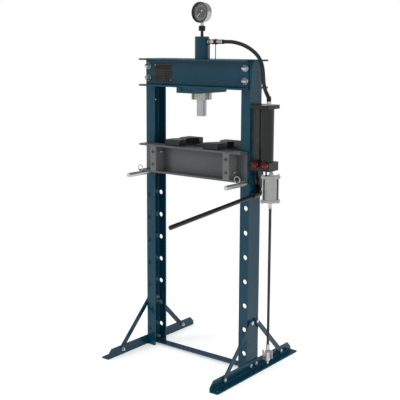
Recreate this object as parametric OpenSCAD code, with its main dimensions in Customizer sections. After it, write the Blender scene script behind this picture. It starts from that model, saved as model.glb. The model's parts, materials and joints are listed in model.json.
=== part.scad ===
/* [Frame] */
// Width over the outer faces of the two columns
frame_w = 637; // [580:1:700]
// Height of the frame, floor to the top of the beam
frame_h = 1500; // [1420:1:1700]
// Depth of a column's channel, front to back
col_d = 94; // [88:1:120]
// Width of a column's flanges
col_b = 51; // [46:1:60]
// Thickness of a column's flanges
col_flange = 7; // [5:0.5:8]
// Thickness of a column's web
col_web = 5.5; // [4:0.5:7]
// Radius inside the corners of the rolled channels
root_r = 6; // [3:0.5:7]

/* [Bed pin holes] */
// Distance from the top of the frame down to the top pin holes
top_hole_drop = 575.5; // [540:0.5:640]
// Distance from one pin hole to the next
hole_pitch = 119; // [100:1:125]
// Number of pin holes in each flange
hole_count = 8; // [4:1:8]
// Clearance of a bed pin in its hole, on the diameter
pin_clearance = 2; // [0.5:0.1:4]
// Diameter of the bed pins
pin_d = 22; // [16:0.5:22]
// Distance from a column's outer face to its pin holes
hole_inset = 19.5; // [18:0.5:24]

/* [Beam] */
// Distance from a column's outer face to the ends of the beam and bed channels
beam_inset = 9; // [4:0.5:20]
// Height of the beam channels
beam_h = 136; // [120:1:160]
// Width of the beam and bed flanges
beam_b = 66; // [56:1:80]
// Thickness of the beam and bed webs
beam_web = 6; // [5:0.5:8]
// Thickness of the beam and bed flanges
beam_flange = 8.5; // [6:0.5:12]
// Diameter of the beam bolts
beam_bolt_d = 16; // [12:1:18]
// Height between the two beam bolts at a corner
beam_bolt_rise = 59; // [50:1:70]

/* [Base] */
// Length of a foot
foot_len = 693; // [620:1:830]
// Height of a foot's upright leg
foot_h = 48; // [46:1:60]
// Width of a foot's floor leg
foot_w = 47; // [40:1:60]
// Thickness of the foot angle
foot_t = 5; // [4:0.5:8]
// Width of a brace bar
brace_w = 25; // [22:1:32]
// Thickness of a brace bar
brace_t = 5; // [4:0.5:8]
// Height of the upper brace bolts
brace_z = 244; // [210:1:290]
// Distance of the lower brace bolts from the middle
brace_y = 242; // [200:1:270]
// Diameter of the base bolts
base_bolt_d = 10; // [8:1:12]
// Diameter of the floor anchor holes
anchor_d = 13; // [9:0.5:16]
// Distance between the floor anchor holes along a foot
anchor_span = 640; // [560:1:650]
// Width of the tie bar between the columns
tie_w = 45; // [36:1:56]

/* [Cylinder] */
// Thickness of the cylinder's wall
cyl_wall = 7; // [6:0.5:12]
// Height of the cylinder above the beam
cyl_rise = 107; // [100:1:140]
// Thickness of the wall of the cylinder's threaded neck
neck_wall = 3; // [2.5:0.1:5]
// Diameter of the return spring's wire
spring_wire = 3; // [2:0.1:4]
// Diameter of the ram
ram_d = 48; // [40:0.5:50]
// Length of ram that stands out at rest, with its nose
ram_out = 81; // [70:1:100]
// Travel of the ram
stroke = 150; // [120:1:150]
// Thickness of the lock nut's ring
lock_nut_wall = 19; // [12:0.5:22]
// Height of the lock nut
lock_nut_h = 34; // [24:1:40]

/* [Carrier] */
// Width of the cylinder carrier
carrier_w = 128; // [120:1:160]
// Length of the carrier, front to back
carrier_l = 234; // [200:1:240]
// Thickness of the carrier plate
carrier_t = 9; // [8:0.5:14]
// Height of the rails on the carrier
rail_h = 17; // [12:0.5:22]
// Width of the rails on the carrier
rail_w = 28; // [20:1:28]

/* [Gauge] */
// Diameter of the gauge
gauge_d = 100; // [80:1:120]
// Height of the gauge's centre above the cylinder
gauge_rise = 114; // [106:1:140]

/* [Pump] */
// Distance from the top of the frame down to the oil reservoir
tank_drop = 223; // [200:1:400]
// Diameter of the oil reservoir
tank_d = 68; // [56:1:72]
// Length of the oil reservoir
tank_h = 246; // [200:1:300]
// Thickness of the top flange
top_flange_t = 18; // [16:1:24]
// Height of the valve block
block_h = 41; // [34:1:50]
// Diameter of the valve balls
ball_d = 29; // [20:1:30]
// Diameter of the pump lever
lever_d = 20; // [16:0.5:22]
// Length of the pump lever
lever_len = 656; // [500:1:800]
// Swing of the pump lever in degrees
lever_swing = 50; // [30:1:50]

/* [Air motor] */
// Diameter of the air motor's barrel
motor_d = 58; // [50:1:64]
// Height of the air motor, over its end caps
motor_h = 126; // [110:1:150]
// Gap between the air motor and the valve block
motor_gap = 23; // [16:1:30]
// Diameter of the air hose
air_hose_d = 13; // [10:0.5:14]

/* [Bed] */
// Height of the bed channels
bed_h = 140; // [120:1:160]
// Distance of the left stiffeners' middle from the bed's end
stiffener_inset_left = 92; // [70:0.5:110]
// Distance of the right stiffeners' middle from the bed's end
stiffener_inset_right = 79; // [60:0.5:110]
// Width of a stiffener
stiffener_w = 36; // [30:1:60]
// Thickness of a stiffener's sheet
stiffener_t = 5; // [3:0.5:7]
// Width of an arbor plate
arbor_w = 88; // [70:1:100]
// Length of an arbor plate
arbor_l = 192; // [160:1:220]
// Thickness of an arbor plate
arbor_t = 30; // [20:1:40]
// Gap between the two arbor plates
arbor_gap = 144; // [100:1:200]
// Distance the pair of arbor plates lies to the right of the middle
arbor_shift = 8; // [-20:1:20]

/* [Hidden] */
$fn = 48;

// width over flats of a bolt's head, as a share of its diameter
head_share = 1.5;

// clearances
thread_gap = 0.1;    // between a thread and its hole, on the diameter
bolt_gap = 1;        // between a bolt and its plain hole, on the diameter
running_gap = 0.12;  // between a shaft and its bore, on the diameter
slide_gap = 0.5;     // between sliding flat faces
rest_gap = 0.3;      // between a curved face and what rests on it

// frame places
col_x = frame_w / 2;
hole_x = col_x - hole_inset;
top_hole_z = frame_h - top_hole_drop;
hole_d = pin_d + pin_clearance;
beam_top = frame_h;
beam_z = beam_top - beam_h / 2;
beam_bottom = beam_top - beam_h;
beam_y = col_d / 2;
beam_len = frame_w - 2 * beam_inset;
beam_bolt_x = col_x - col_web - root_r - head_share * beam_bolt_d / 2;
beam_bolt_z = beam_bolt_rise / 2;
head_depth = 10;
cap_washer_t = 3;
cap_hex_h = 13;
cap_bore = 19;

// base places
base_bolt_y = 22.5;
base_bolt_z = 28;
tie_z = 9;
tie_t = 5;
tie_plate_t = 6;
tie_plate_h = 38;
tie_plate_w = col_d - 2 * col_flange - 2 * root_r - 1;
base_head_h = 6.5;
base_nut_h = 8;
bolt_tail = 8;         // thread that stands out past a base nut
foot_cut = foot_h - 20;
foot_corner_r = 9;

// cylinder diameters, each outside the one before
spring_room = 1;
bore_d = ram_d + 2 * (spring_wire + spring_room);
cyl_d = bore_d + 2 * cyl_wall;
neck_d = bore_d + 2 * neck_wall;
lock_nut_d = neck_d + 2 * lock_nut_wall;

// carrier and cylinder heights
rail_z = beam_bottom - rail_h;
carrier_z = rail_z - carrier_t;
neck_z = carrier_z - lock_nut_h;
block_inset = 6;
carrier_screw_x = carrier_w / 2 - rail_w / 2;
carrier_screw_y = 90;
carrier_screw_d = 10;
screw_head_h = 7;
cyl_top = beam_top + cyl_rise;
head_t = 8;
head_plug = 9;
gland_z = beam_bottom - 14;
port_z = cyl_top - 25;
nose_z = neck_z - ram_out;
nose_h = 14;
groove_h = 3;
spigot_r = 12;
spigot_h = 8;
piston_h = 25;
piston_z = cyl_top - 35 - piston_h;
chamfer = 1.5;

// return spring, its turns few enough to leave the stroke free
spring_turns = floor((piston_z - gland_z - stroke) / spring_wire) - 3;
spring_r = (ram_d + bore_d) / 4;
spring_z0 = gland_z + rest_gap;
spring_z1 = piston_z - rest_gap;

// gauge
gauge_z = cyl_top + gauge_rise;
gauge_r = gauge_d / 2;
gauge_front = -22;
gauge_back = 15;
adapter_pipe_h = 26;
adapter_hex_h = 25;
adapter_af = 30;
adapter_top = cyl_top + adapter_pipe_h + adapter_hex_h;
dial_y = -9;
needle_y = -12.5;
bezel_w = 7;
needle_rest = 225;

// hydraulic hose fittings
fitting_x = cyl_d / 2;
ring_x = fitting_x + 44;
ferrule_x = ring_x + 15;
hose_x = ferrule_x + 33;
hose_d = 18;
pump_hose_x = col_x + 71.5;
pump_fitting_h = 16;

// pump places
tank_gap = 22;
back_plate_t = 6;
tank_x = col_x + back_plate_t + tank_gap + tank_d / 2;
tank_x1 = tank_x + tank_d / 2;
tank_top = frame_h - tank_drop;
tank_z = tank_top - tank_h;
flange_top = tank_top + top_flange_t;
block_z = tank_z - block_h;
pump_hole_z = tank_top + 11;
pump_hole_d = 9;
pump_hole_y = 22.5;
flange_x1 = tank_x1 + 5.5;
flange_y = tank_d / 2 + 18;
block_x1 = tank_x1 + 8;
block_y = tank_d / 2 + 9;
knob_x = [col_x + 35.5, col_x + 91];
knob_y = -block_y - 16;
knob_z = block_z + 30;
stem_d = 8;
back_plate_y = tank_d / 2 + 2;

// pump lever
lever_x = col_x + 16.5;
pivot_y = 13;
pivot_z = block_z - 92;
pivot_d = 10;
plunger_y = 30;
arm = plunger_y - pivot_y;
plunger_pin_z = pivot_z + arm * tan(lever_swing / 2);
plunger_d = 12;
plunger_pin_d = 8;
cheek_t = 5;
clevis_gap = 20;
lever_drop = 25;
lever_tilt = 4.5;
socket_d = lever_d + 8;
socket_len = 60;
fork_gap = 9.2;
fork_root = 8.4;
forging_w = clevis_gap - 2 * rest_gap;
barrel_z = block_z - 55;

// air motor
motor_x = col_x + 88.5;
motor_top = block_z - motor_gap;
motor_z = motor_top - motor_h;
cap_t = 13;
rod_d = 6;
ear_r = 8.5;
rod_r = motor_d / 2 + ear_r;    // from the motor's axis to a tie rod
rod_off = rod_r * cos(45);
air_fitting_h = 28;
air_hose_top = motor_z - air_fitting_h;
air_hose_end = 151;
valve_tip_z = 54;

// bed
bed_z = top_hole_z + pin_d / 2 + rest_gap;
bed_top = bed_z + bed_h;
bed_y = col_d / 2 + slide_gap;
stiffener_x = [stiffener_inset_left - beam_len / 2, beam_len / 2 - stiffener_inset_right];
bed_bolt_z = bed_z + bed_h / 2 + 3;
bed_bolt_rise = 62;
bed_bolt_d = 10;
stiffener_h = bed_h - 2 * beam_flange;
peg_d = 9;
peg_len = 32;
peg_gap = 8;
stiffener_y = bed_y + beam_b;
arbor_z = bed_top;
pin_front = -bed_y - beam_b - 94.5;
pin_back = col_d / 2 + 14;
ring_wire = 4;
ring_y = -(bed_y + beam_b + ring_wire / 2 + 1.5);
ring_r = 15;

// route of the hydraulic hose in the XZ plane, from the cylinder to the pump
hose_route = [
    [127, 1582], [150, 1582], [180, 1581], [210, 1576], [240, 1568],
    [268, 1557], [293, 1543], [316, 1526], [335, 1505], [348, 1478],
    [355, 1447], [358, 1416], [362, 1386], [371, 1358], [383, 1336],
    [390, 1319], [390, 1311]
];
// route of the leash that hangs between the beams
leash_route = [
    [46, 1569], [46, 1540], [46, 1505], [46, 1480], [47, 1463], [52, 1450],
    [64, 1444], [76, 1450], [81, 1463], [82, 1480], [82, 1505], [82, 1540],
    [82, 1569.7]
];
leash_d = 4;

// ---- shared shapes ----

// points along an arc
function arc(c, r, a0, a1, n = 6) =
    [for (i = [0:n]) c + r * [cos(a0 + (a1 - a0) * i / n), sin(a0 + (a1 - a0) * i / n)]];

// outline of a bar with round ends, between two points
function bar_outline(p, q, r) =
    let (a = atan2(q.y - p.y, q.x - p.x))
    concat(arc(q, r, a - 90, a + 90, 8), arc(p, r, a + 90, a + 270, 8));

// section of a rolled channel, its web's back on x = 0 and its flanges toward -x
function channel_points(depth, breadth, web, flange, root) =
    let (h = depth / 2)
    concat(
        [[0, -h], [0, h], [-breadth, h], [-breadth, h - flange]],
        arc([-web - root, h - flange - root], root, 90, 0, 5),
        arc([-web - root, -h + flange + root], root, 0, -90, 5),
        [[-breadth, -h + flange], [-breadth, -h]]
    );

// stands an outline drawn in XY up in the YZ plane and extrudes it along X
module yz_plate(x0, t) {
    translate([x0, 0, 0]) rotate([90, 0, 90]) linear_extrude(t) children();
}

// stands an outline drawn in XY up in the XZ plane and extrudes it along +Y
module xz_plate(y0, t) {
    translate([0, y0 + t, 0]) rotate([90, 0, 0]) linear_extrude(t) children();
}

module both_sides() {
    children();
    mirror([1, 0, 0]) children();
}

module front_and_back() {
    children();
    mirror([0, 1, 0]) children();
}

module rod_x(x0, x1, y, z, d) {
    translate([x0, y, z]) rotate([0, 90, 0]) cylinder(h = x1 - x0, d = d);
}

module rod_y(y0, y1, x, z, d) {
    translate([x, y0, z]) rotate([-90, 0, 0]) cylinder(h = y1 - y0, d = d);
}

// hexagon with its flats facing the local y direction
module hex(af, h) {
    cylinder(h = h, d = af / cos(30), $fn = 6);
}

// bolt along +z, the underside of its head on z = 0
module bolt(d, len, af, head_h) {
    translate([0, 0, -head_h]) hex(af, head_h);
    cylinder(h = len, d = d);
}

module nut(d, af, h) {
    difference() {
        hex(af, h);
        translate([0, 0, -1]) cylinder(h = h + 2, d = d + thread_gap);
    }
}

// tube swept along a route of [x, z] points in the XZ plane
module tube(route, d, sides = 10) {
    n = len(route);
    rings = [for (i = [0:n - 1])
        let (
            a = route[max(i - 1, 0)],
            b = route[min(i + 1, n - 1)],
            t = (b - a) / norm(b - a)
        )
        for (k = [0:sides - 1])
            let (w = 360 * k / sides)
            [route[i].x - t.y * cos(w) * d / 2, sin(w) * d / 2, route[i].y + t.x * cos(w) * d / 2]
    ];
    sides_faces = [for (i = [0:n - 2], k = [0:sides - 1])
        let (
            k2 = (k + 1) % sides,
            p = i * sides + k,
            q = i * sides + k2
        )
        each [[p, q, q + sides], [p, q + sides, p + sides]]
    ];
    first = [for (k = [0:sides - 1]) sides - 1 - k];
    last = [for (k = [0:sides - 1]) (n - 1) * sides + k];
    polyhedron(points = rings, faces = concat(sides_faces, [first, last]), convexity = 4);
}

// ---- frame ----

module column() {
    color([0.10, 0.26, 0.34])
    difference() {
        translate([col_x, 0, 0])
            linear_extrude(beam_top)
            polygon(channel_points(col_d, col_b, col_web, col_flange, root_r));
        for (i = [0:hole_count - 1])
            rod_y(-col_d, col_d, hole_x, top_hole_z - i * hole_pitch, hole_d);
        for (s = [-1, 1]) {
            rod_y(-col_d, col_d, beam_bolt_x, beam_z + s * beam_bolt_z, beam_bolt_d + bolt_gap);
            for (z = [base_bolt_z, brace_z])
                rod_x(col_x - 20, col_x + 10, s * base_bolt_y, z, base_bolt_d + bolt_gap);
            rod_x(col_x - 20, col_x + 10, s * pump_hole_y, pump_hole_z, pump_hole_d);
        }
    }
}

module column_right() { column(); }

module column_left() { mirror([1, 0, 0]) column(); }

// one channel lying along X, its web's back on y = -back and its flanges to the front
module long_channel(back, z, h, colour) {
    color(colour)
        translate([0, -back, z + h / 2])
        yz_plate(-beam_len / 2, beam_len)
        polygon(channel_points(h, beam_b, beam_web, beam_flange, root_r));
}

module beam_channel() {
    difference() {
        long_channel(beam_y, beam_bottom, beam_h, [0.10, 0.26, 0.34]);
        both_sides() {
            for (s = [-1, 1])
                rod_y(-beam_y - 20, -beam_y + 5, beam_bolt_x, beam_z + s * beam_bolt_z,
                      beam_bolt_d + bolt_gap);
            translate([carrier_screw_x, -carrier_screw_y, beam_bottom - 1])
                cylinder(h = beam_flange + 2, d = carrier_screw_d + thread_gap);
        }
    }
}

module beam_front() { beam_channel(); }

module beam_back() { mirror([0, 1, 0]) beam_channel(); }

// heads inside the columns, threads outward through the beam webs
module beam_bolts() {
    color("silver")
    front_and_back() both_sides()
        for (s = [-1, 1])
            translate([beam_bolt_x, -col_d / 2 + col_flange, beam_z + s * beam_bolt_z])
            rotate([90, 0, 0]) rotate([0, 0, 30])
            bolt(beam_bolt_d, col_flange + beam_web + cap_washer_t + cap_bore - 1,
                 beam_bolt_d * head_share, head_depth);
}

module cap_nut(d) {
    af = d * head_share;
    difference() {
        union() {
            hex(af, cap_hex_h);
            translate([0, 0, cap_hex_h]) sphere(r = af / 2 - 0.5);
        }
        translate([0, 0, -af]) cylinder(h = af, d = 3 * af);
        translate([0, 0, -1]) cylinder(h = cap_bore + 1, d = d + thread_gap);
    }
}

module beam_cap_nuts() {
    color("silver")
    front_and_back() both_sides()
        for (s = [-1, 1])
            translate([beam_bolt_x, -beam_y - beam_web, beam_z + s * beam_bolt_z])
            rotate([90, 0, 0]) rotate([0, 0, 30]) {
                difference() {
                    cylinder(h = cap_washer_t, d = beam_bolt_d * 1.875);
                    translate([0, 0, -1]) cylinder(h = cap_washer_t + 2, d = beam_bolt_d + bolt_gap);
                }
                translate([0, 0, cap_washer_t]) cap_nut(beam_bolt_d);
            }
}

// ---- base ----

module foot() {
    x0 = col_x;
    half = foot_len / 2;
    color([0.10, 0.26, 0.34])
    difference() {
        translate([0, half, 0]) rotate([90, 0, 0])
            linear_extrude(foot_len)
            polygon(concat(
                [[x0, 0], [x0 + foot_w, 0], [x0 + foot_w, foot_t]],
                arc([x0 + foot_t + root_r, foot_t + root_r], root_r, 270, 180, 5),
                [[x0 + foot_t, foot_h], [x0, foot_h]]
            ));
        front_and_back() {
            // sloped end of the upright leg
            yz_plate(x0 - 1, foot_t + root_r + 2)
                polygon([[-half - 1, foot_h - foot_cut - 1], [-half - 1, foot_h + 1],
                         [-half + foot_cut + 1, foot_h + 1]]);
            // round outer corner of the floor leg
            translate([x0 + foot_w, -half, -1])
                linear_extrude(foot_t + 2)
                polygon(concat([[1, -1], [1, foot_corner_r]],
                               arc([-foot_corner_r, foot_corner_r], foot_corner_r, 0, -90, 8),
                               [[-foot_corner_r, -1]]));
            translate([x0 + (foot_w + foot_t) / 2, -anchor_span / 2, -1])
                cylinder(h = foot_t + 2, d = anchor_d);
            for (y = [base_bolt_y, brace_y])
                rod_x(x0 - 1, x0 + foot_t + 1, -y, base_bolt_z, base_bolt_d + bolt_gap);
        }
    }
}

module foot_right() { foot(); }

module foot_left() { mirror([1, 0, 0]) foot(); }

module brace() {
    low = [brace_y, base_bolt_z];
    high = [base_bolt_y, brace_z];
    difference() {
        yz_plate(col_x + foot_t, brace_t) polygon(bar_outline(low, high, brace_w / 2));
        for (p = [low, high])
            rod_x(col_x + foot_t - 1, col_x + foot_t + brace_t + 1, p.x, p.y, base_bolt_d + bolt_gap);
    }
}

module braces() {
    color([0.10, 0.26, 0.34])
    front_and_back() both_sides() brace();
}

module cross_tie() {
    inner = col_x - col_web;
    color([0.10, 0.26, 0.34]) {
        difference() {
            union() {
                translate([-inner + tie_plate_t / 2, -tie_w / 2, tie_z])
                    cube([2 * inner - tie_plate_t, tie_w, tie_t]);
                both_sides()
                    translate([inner - tie_plate_t, -tie_plate_w / 2, tie_z])
                    cube([tie_plate_t, tie_plate_w, tie_plate_h]);
            }
            both_sides() for (s = [-1, 1])
                rod_x(inner - 20, inner + 10, s * base_bolt_y, base_bolt_z, base_bolt_d + bolt_gap);
        }
    }
}

// bolt along -x with the underside of its head at x
module base_bolt(x, y, z, len) {
    translate([x, y, z]) rotate([0, -90, 0])
        bolt(base_bolt_d, len, base_bolt_d * 1.7, base_head_h);
}

module base_bolts() {
    past = base_nut_h + bolt_tail;
    color("silver")
    front_and_back() both_sides() {
        base_bolt(col_x + foot_t, base_bolt_y, base_bolt_z, foot_t + col_web + tie_plate_t + past);
        base_bolt(col_x + foot_t + brace_t, base_bolt_y, brace_z, brace_t + foot_t + col_web + past);
        base_bolt(col_x + foot_t + brace_t, brace_y, base_bolt_z, brace_t + foot_t + past);
        // spacer between the column and the brace
        difference() {
            rod_x(col_x, col_x + foot_t, base_bolt_y, brace_z, base_bolt_d * 2);
            rod_x(col_x - 1, col_x + foot_t + 1, base_bolt_y, brace_z, base_bolt_d + bolt_gap);
        }
    }
}

module base_nut(x, y, z) {
    translate([x, y, z]) rotate([0, -90, 0]) nut(base_bolt_d, base_bolt_d * 1.7, base_nut_h);
}

module base_nuts() {
    color("silver")
    front_and_back() both_sides() {
        base_nut(col_x - col_web - tie_plate_t, base_bolt_y, base_bolt_z);
        base_nut(col_x - col_web, base_bolt_y, brace_z);
        base_nut(col_x, brace_y, base_bolt_z);
    }
}

// ---- cylinder and its carrier ----

module carrier() {
    block_w = carrier_w - 2 * rail_w;
    color([0.08, 0.30, 0.38])
    difference() {
        union() {
            translate([-carrier_w / 2, -carrier_l / 2, carrier_z])
                cube([carrier_w, carrier_l, carrier_t]);
            both_sides()
                translate([block_w / 2, -carrier_l / 2, carrier_z + carrier_t / 2])
                cube([rail_w, carrier_l, rail_h + carrier_t / 2]);
            translate([-block_w / 2 - 1, -carrier_l / 2 + block_inset, carrier_z + carrier_t / 2])
                cube([block_w + 2, carrier_l - 2 * block_inset, rail_h + carrier_t / 2]);
        }
        translate([0, 0, carrier_z - 1])
            cylinder(h = carrier_t + rail_h + 2, d = neck_d + bolt_gap);
        front_and_back() both_sides()
            translate([carrier_screw_x, carrier_screw_y, carrier_z - 1]) {
                cylinder(h = carrier_t + rail_h + 2, d = carrier_screw_d + bolt_gap);
                cylinder(h = screw_head_h + 1, d = carrier_screw_d * 1.6 + bolt_gap);
            }
    }
}

// sunk screws that hold the carrier under the beam's lower flanges
module carrier_screws() {
    head_z = carrier_z + screw_head_h;
    color("silver")
    front_and_back() both_sides()
        translate([carrier_screw_x, carrier_screw_y, 0])
        difference() {
            union() {
                translate([0, 0, carrier_z + 0.5])
                    cylinder(h = screw_head_h - 0.5, d = carrier_screw_d * 1.6);
                translate([0, 0, head_z])
                    cylinder(h = beam_bottom + beam_flange - 1 - head_z, d = carrier_screw_d);
            }
            translate([0, 0, carrier_z - 1]) hex(carrier_screw_d * 0.8, 5.5);
        }
}

module cylinder_body() {
    color([0.10, 0.26, 0.34])
    difference() {
        union() {
            translate([0, 0, beam_bottom]) cylinder(h = cyl_top - head_t - beam_bottom, d = cyl_d);
            translate([0, 0, neck_z]) cylinder(h = beam_bottom - neck_z + 1, d = neck_d);
        }
        translate([0, 0, neck_z - 1]) cylinder(h = gland_z - neck_z + 2, d = ram_d + running_gap);
        translate([0, 0, gland_z]) cylinder(h = cyl_top - gland_z, d = bore_d);
        rod_x(0, cyl_d, 0, port_z, 12 + thread_gap);
    }
}

module cylinder_head() {
    color([0.10, 0.26, 0.34])
    difference() {
        union() {
            translate([0, 0, cyl_top - head_t]) cylinder(h = head_t, d = cyl_d);
            translate([0, 0, cyl_top - head_t - head_plug])
                cylinder(h = head_plug + 1, d = bore_d - thread_gap);
        }
        translate([0, 0, cyl_top - 12]) cylinder(h = 13, d = 12 + thread_gap);
        translate([0, 0, cyl_top - 30]) cylinder(h = 31, d = 5);
    }
}

module lock_nut() {
    slot_w = 12;
    slot_depth = 6;
    color("silver")
    difference() {
        translate([0, 0, neck_z]) cylinder(h = lock_nut_h, d = lock_nut_d);
        translate([0, 0, neck_z - 1]) cylinder(h = lock_nut_h + 2, d = neck_d + thread_gap);
        for (a = [-13.5, 76.5, 166.5, 256.5])
            rotate([0, 0, a])
            translate([-slot_w / 2, -lock_nut_d / 2 - 1, neck_z - 1])
            cube([slot_w, slot_depth + 1, lock_nut_h + 2]);
        rotate([0, 0, 16.5])
            rod_y(-lock_nut_d, -lock_nut_d / 2 + 6, 0, neck_z + lock_nut_h * 0.6, 6);
    }
}

module ram() {
    neck = nose_z + nose_h;
    rod = neck + groove_h;
    color("silver")
    difference() {
        union() {
            translate([0, 0, neck - spigot_h]) cylinder(h = spigot_h + 1, r = spigot_r);
            translate([0, 0, neck]) cylinder(h = groove_h + 1, d = ram_d - 4);
            translate([0, 0, rod]) cylinder(h = piston_z - rod + 1, d = ram_d);
            translate([0, 0, piston_z]) cylinder(h = piston_h, d = bore_d - running_gap);
        }
        // seal grooves of the piston
        for (z = [piston_z + 5, piston_z + 14])
            translate([0, 0, z]) difference() {
                cylinder(h = 5, d = bore_d + 2);
                translate([0, 0, -1]) cylinder(h = 7, d = bore_d - 7);
            }
    }
}

module ram_nose() {
    r = ram_d / 2;
    color("silver")
    translate([0, 0, nose_z])
    difference() {
        rotate_extrude()
            polygon([[0, 0], [r - chamfer, 0], [r, chamfer], [r, nose_h], [0, nose_h]]);
        translate([0, 0, nose_h - spigot_h - 0.5])
            cylinder(h = spigot_h + 1, d = 2 * spigot_r + thread_gap);
    }
}

// wound wire between the gland and the piston
module return_spring() {
    per_turn = 20;
    sides = 6;
    n = spring_turns * per_turn;
    low = spring_z0 + spring_wire / 2;
    rise = (spring_z1 - spring_z0 - spring_wire) / n;
    points = [for (i = [0:n], k = [0:sides - 1])
        let (a = 360 * i / per_turn, w = 360 * k / sides, r = spring_r + spring_wire / 2 * cos(w))
        [r * cos(a), r * sin(a), low + i * rise + spring_wire / 2 * sin(w)]
    ];
    walls = [for (i = [0:n - 1], k = [0:sides - 1])
        let (p = i * sides + k, q = i * sides + (k + 1) % sides)
        each [[p, q + sides, q], [p, p + sides, q + sides]]
    ];
    first = [for (k = [0:sides - 1]) k];
    last = [for (k = [0:sides - 1]) n * sides + sides - 1 - k];
    color("dimgray") polyhedron(points = points, faces = concat(walls, [first, last]), convexity = 10);
}

// ---- gauge ----

module gauge_adapter() {
    color([0.08, 0.08, 0.08])
    difference() {
        union() {
            translate([0, 0, cyl_top - 11]) cylinder(h = 12, d = 12);
            translate([0, 0, cyl_top]) cylinder(h = adapter_pipe_h + 1, d = 14);
            translate([0, 0, cyl_top + adapter_pipe_h]) hex(adapter_af, adapter_hex_h);
        }
        translate([0, 0, cyl_top - 12]) cylinder(h = adapter_pipe_h + 20, d = 5);
        translate([0, 0, adapter_top - 12]) cylinder(h = 13, d = 12 + thread_gap);
    }
}

module gauge_case() {
    wall = 1.6;
    r = gauge_r - 3;
    color("silver")
    difference() {
        union() {
            difference() {
                rod_y(dial_y - 5, gauge_back, 0, gauge_z, 2 * r);
                rod_y(dial_y - 6, gauge_back - wall, 0, gauge_z, 2 * (r - wall));
            }
            // square-shouldered stem with its socket block behind the dial
            translate([0, 0, adapter_top]) cylinder(h = gauge_z - r + 6 - adapter_top, d = 16);
            translate([-9, -4, gauge_z - r + 0.5]) cube([18, 12, 18]);
            translate([0, 0, adapter_top - 11]) cylinder(h = 12, d = 12);
            rod_y(4, gauge_back, 0, gauge_z, 12);
        }
        translate([0, 0, adapter_top - 12]) cylinder(h = 30, d = 4);
        rod_y(3, 9, 0, gauge_z, 3 + running_gap);
    }
}

module gauge_bezel() {
    color("silver")
    translate([0, 0, gauge_z])
    rotate([90, 0, 0])
    rotate_extrude()
        polygon([
            [gauge_r - bezel_w, 14.5], [gauge_r - bezel_w, 20], [gauge_r - bezel_w + 2, -gauge_front],
            [gauge_r - 2, -gauge_front], [gauge_r, -gauge_front - 2], [gauge_r, 9],
            [gauge_r - 3 + 0.05, 9], [gauge_r - 3 + 0.05, 14.5]
        ]);
}

module gauge_dial() {
    color("gray")
    difference() {
        rod_y(dial_y - 1, dial_y, 0, gauge_z, 2 * (gauge_r - 3 - 1.6) - 0.1);
        rod_y(dial_y - 2, dial_y + 1, 0, gauge_z, 3 + running_gap);
    }
}

module gauge_lens() {
    color([0.8, 0.9, 0.95, 0.4])
    rod_y(-17.5, -14.5, 0, gauge_z, 2 * (gauge_r - bezel_w) - 0.1);
}

module gauge_needle() {
    color("white") {
        translate([0, 0, gauge_z]) rotate([0, needle_rest, 0])
            xz_plate(needle_y, 1)
            polygon([[-2.6, 0], [-1, gauge_r - 16], [1, gauge_r - 16], [2.6, 0], [3.4, -15], [-3.4, -15]]);
        rod_y(needle_y - 1, needle_y + 1.5, 0, gauge_z, 9);
        rod_y(needle_y, 8, 0, gauge_z, 3);
    }
}

// ---- hose to the cylinder ----

module hose_fitting() {
    color("silver")
    difference() {
        union() {
            rod_x(fitting_x - 6.5, fitting_x + 1, 0, port_z, 12);
            rod_x(fitting_x, fitting_x + 7, 0, port_z, 17);
            translate([fitting_x + 6, 0, port_z]) rotate([0, 90, 0]) hex(22, 11);
            rod_x(fitting_x + 16, fitting_x + 25, 0, port_z, 18);
            translate([fitting_x + 24, 0, port_z]) rotate([0, 90, 0]) hex(22, 15);
            rod_x(fitting_x + 38, ferrule_x, 0, port_z, 15);
        }
        rod_x(fitting_x - 8, ferrule_x + 1, 0, port_z, 6);
    }
}

module coupler_ring() {
    color([0.37, 0.14, 0.20])
    difference() {
        rod_x(ring_x, ferrule_x, 0, port_z, 24);
        rod_x(ring_x - 1, ferrule_x + 1, 0, port_z, 15 + running_gap);
    }
}

// crimped sleeve: three shallow waists around a tube
module ferrule(len, d) {
    difference() {
        cylinder(h = len, d = d);
        for (i = [0:2])
            translate([0, 0, len * (0.2 + 0.25 * i)])
            difference() {
                cylinder(h = len * 0.12, d = d + 2);
                translate([0, 0, -1]) cylinder(h = len * 0.12 + 2, d = d - 2);
            }
        translate([0, 0, -1]) cylinder(h = len + 2, d = 6);
    }
}

module hose_ferrule() {
    color("silver")
    translate([ferrule_x, 0, port_z]) rotate([0, 90, 0]) ferrule(hose_x - ferrule_x, 22);
}

module hydraulic_hose() {
    color([0.06, 0.06, 0.06]) tube(hose_route, hose_d);
}

module pump_hose_fitting() {
    color("silver")
    difference() {
        union() {
            translate([pump_hose_x, 0, flange_top]) hex(22, 8);
            translate([pump_hose_x, 0, flange_top + 7]) cylinder(h = pump_fitting_h - 7, d = 20);
            translate([pump_hose_x, 0, flange_top - 10]) cylinder(h = 11, d = 12);
        }
        translate([pump_hose_x, 0, flange_top - 11]) cylinder(h = pump_fitting_h + 12, d = 6);
    }
}

module coupler_leash() {
    color([0.25, 0.12, 0.14]) tube(leash_route, leash_d, 8);
}

// ---- pump ----

module pump_top_flange() {
    corner = 8;
    color([0.15, 0.15, 0.15])
    difference() {
        translate([0, 0, tank_top]) linear_extrude(top_flange_t)
            polygon(concat(
                [[col_x, -flange_y]],
                arc([flange_x1 - corner, -flange_y + corner], corner, -90, 0, 5),
                arc([flange_x1 - corner, flange_y - corner], corner, 0, 90, 5),
                [[col_x, flange_y]]
            ));
        for (s = [-1, 1])
            rod_x(col_x - 1, col_x + 22, s * pump_hole_y, pump_hole_z, 8 + thread_gap);
        translate([pump_hose_x, 0, flange_top - 11]) cylinder(h = 12, d = 12 + thread_gap);
        translate([pump_hose_x, 0, tank_top - 1]) cylinder(h = top_flange_t, d = 6);
    }
}

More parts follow.
